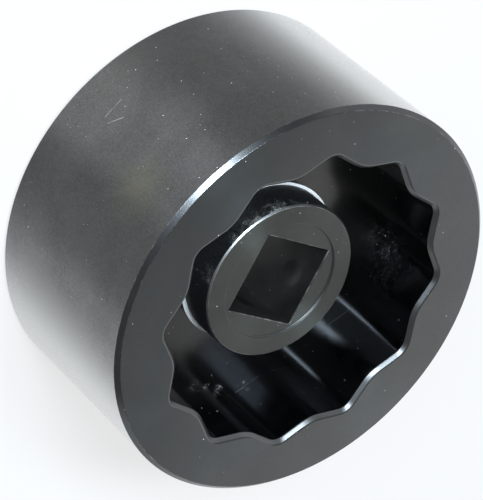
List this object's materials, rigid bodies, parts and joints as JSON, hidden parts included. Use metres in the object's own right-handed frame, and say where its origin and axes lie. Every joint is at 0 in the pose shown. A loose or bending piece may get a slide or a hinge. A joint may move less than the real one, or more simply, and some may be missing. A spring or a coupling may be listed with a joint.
{
  "type": "oil filter wrench",
  "caption": "Low round black steel cap wrench with a wavy multi-point opening around a raised central hub that has a square drive hole.",
  "frame": {"origin": "middle of the flat back face, where the ratchet enters", "axes": "+Z along the tool's axis and out of the twelve-point mouth; +X through one of the twelve outer points of the opening"},
  "size_m": [0.049, 0.049, 0.0245],
  "materials": {
    "socket_steel": "turned and blackened, satin with an oily sheen",
    "hub_steel": "turned and blackened, satin",
    "braze": "bare bright braze metal"
  },
  "bodies": {
    "root": {"socket_body": "socket_steel", "drive_hub": "hub_steel", "braze_ring": "braze"}
  },
  "joints": []
}
